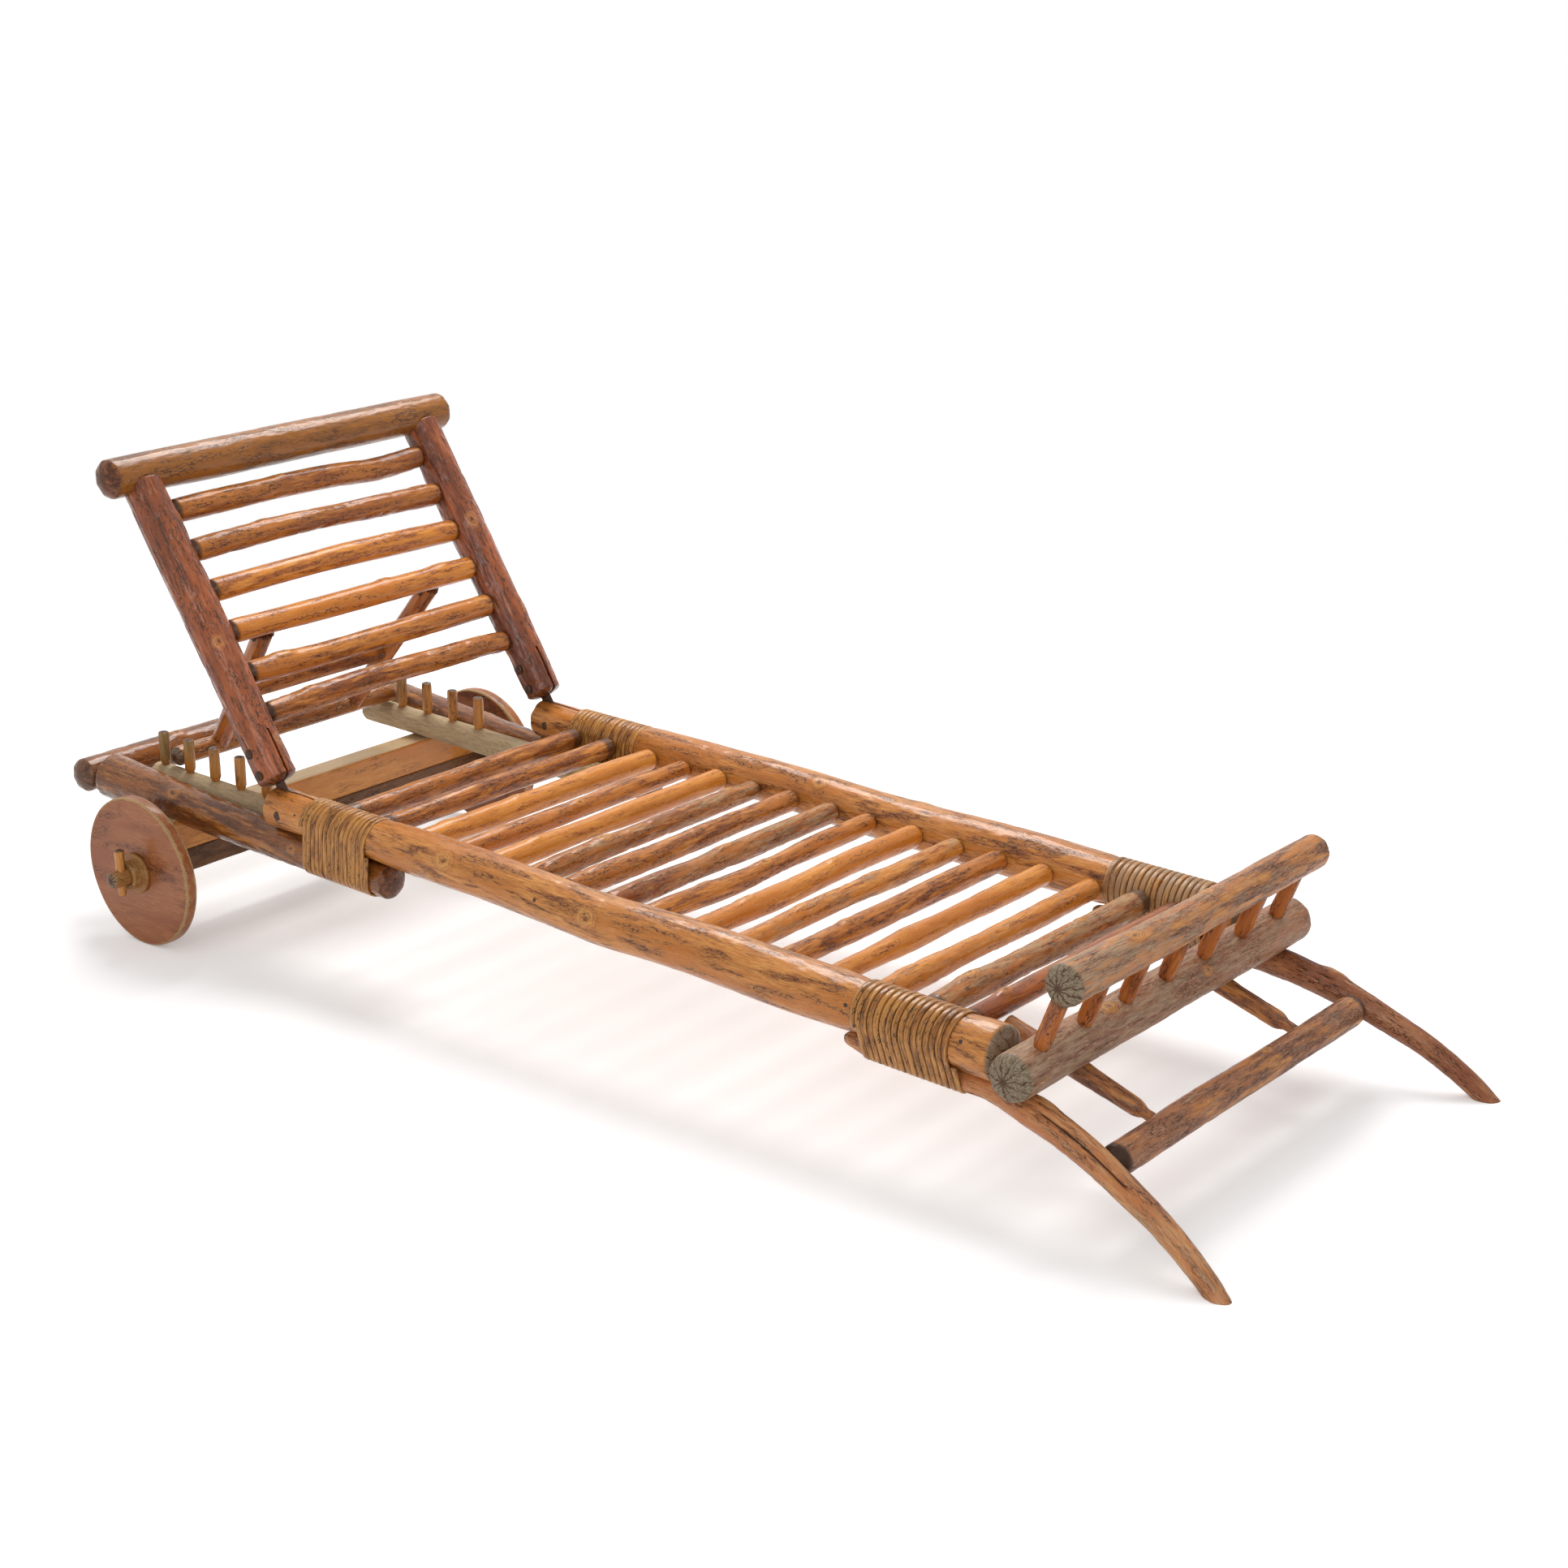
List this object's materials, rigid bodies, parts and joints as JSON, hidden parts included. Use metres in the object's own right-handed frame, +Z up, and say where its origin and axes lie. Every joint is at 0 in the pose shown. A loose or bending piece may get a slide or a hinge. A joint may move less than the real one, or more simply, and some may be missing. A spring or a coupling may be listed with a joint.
{
  "type": "rustic pole sun-lounger on wheels",
  "caption": "Low wheeled sun-lounger of bark-on poles with a slatted deck, strap-hinged back held by a pegged prop, bent branch legs and cane lashings",
  "frame": {"origin": "on the ground, under the middle of the whole lounger's box", "axes": "+X runs along the deck to the foot, +Y to the sitter's left, +Z up"},
  "size_m": [2.2482, 0.9154, 0.7842],
  "materials": {
    "bark_pole": "bark-on pole, varnished, glossy",
    "slat": "thin pole with its bark partly peeled, varnished",
    "weathered_pole": "bark-on pole, weathered grey, matt",
    "peeled_pole": "peeled pole, varnished, satin",
    "dusty_pole": "peeled pole, dusty, matt",
    "board": "sawn board, varnished, satin",
    "axle_wood": "hewn beam, stained dark, matt",
    "wheel_wood": "sawn solid disc, stained red-brown, worn rim",
    "washer_wood": "turned washer, worn, matt",
    "pin_wood": "whittled pin, satin",
    "cane": "split cane, glossy",
    "steel": "forged steel strap, dark, lightly rusted"
  },
  "bodies": {
    "frame": {"seat_rail_right": "bark_pole", "seat_rail_left": "bark_pole", "seat_slat_01": "slat", "seat_slat_02": "slat", "seat_slat_03": "slat", "seat_slat_04": "slat", "seat_slat_05": "slat", "seat_slat_06": "slat", "seat_slat_07": "slat", "seat_slat_08": "slat", "seat_slat_09": "slat", "seat_slat_10": "slat", "seat_slat_11": "slat", "seat_slat_12": "slat", "seat_slat_13": "slat", "seat_slat_14": "slat", "seat_slat_15": "slat", "end_rung": "peeled_pole", "head_crossbar": "bark_pole", "head_rail_right": "bark_pole", "peg_rail_right": "dusty_pole", "head_rail_left": "bark_pole", "peg_rail_left": "dusty_pole", "cross_board": "board", "axle": "axle_wood", "hub_washer_right": "washer_wood", "linch_pin_right": "pin_wood", "hub_washer_left": "washer_wood", "linch_pin_left": "pin_wood", "foot_rail_lower": "weathered_pole", "foot_rail_upper": "weathered_pole", "bent_leg_right": "bark_pole", "bent_leg_left": "bark_pole", "leg_stretcher": "weathered_pole", "brace_right": "peeled_pole", "brace_left": "peeled_pole", "head_lashing_right": "cane", "foot_lashing_right": "cane", "head_lashing_left": "cane", "foot_lashing_left": "cane"},
    "back": {"back_post_right": "bark_pole", "hinge_strap_right": "steel", "back_post_left": "bark_pole", "hinge_strap_left": "steel", "back_top_rail": "bark_pole", "back_slat_1": "slat", "back_slat_2": "slat", "back_slat_3": "slat", "back_slat_4": "slat", "back_slat_5": "slat", "back_slat_6": "slat", "prop_lug_right": "steel", "prop_lug_left": "steel"},
    "prop": {"prop_leg_right": "peeled_pole", "prop_leg_left": "peeled_pole", "prop_stretcher": "peeled_pole", "prop_foot_bar": "dusty_pole"},
    "wheel_left": {"wheel_left": "wheel_wood"},
    "wheel_right": {"wheel_right": "wheel_wood"}
  },
  "joints": [
    {"name": "back_recline", "type": "hinge", "parent": "frame", "child": "back", "pos_m": [-0.60361, 0, 0.258], "axis": [0, 1, 0], "range_deg": [0, 55]},
    {"name": "prop_swing", "type": "hinge", "parent": "back", "child": "prop", "pos_m": [-0.78138, 0, 0.48678], "axis": [0, 1, 0], "range_deg": [0, 1.1]},
    {"name": "wheel_spin_left", "type": "hinge", "parent": "frame", "child": "wheel_left", "pos_m": [-0.88626, 0.382, 0.124], "axis": [0, 1, 0], "continuous": true},
    {"name": "wheel_spin_right", "type": "hinge", "parent": "frame", "child": "wheel_right", "pos_m": [-0.88626, -0.382, 0.124], "axis": [0, 1, 0], "continuous": true}
  ]
}
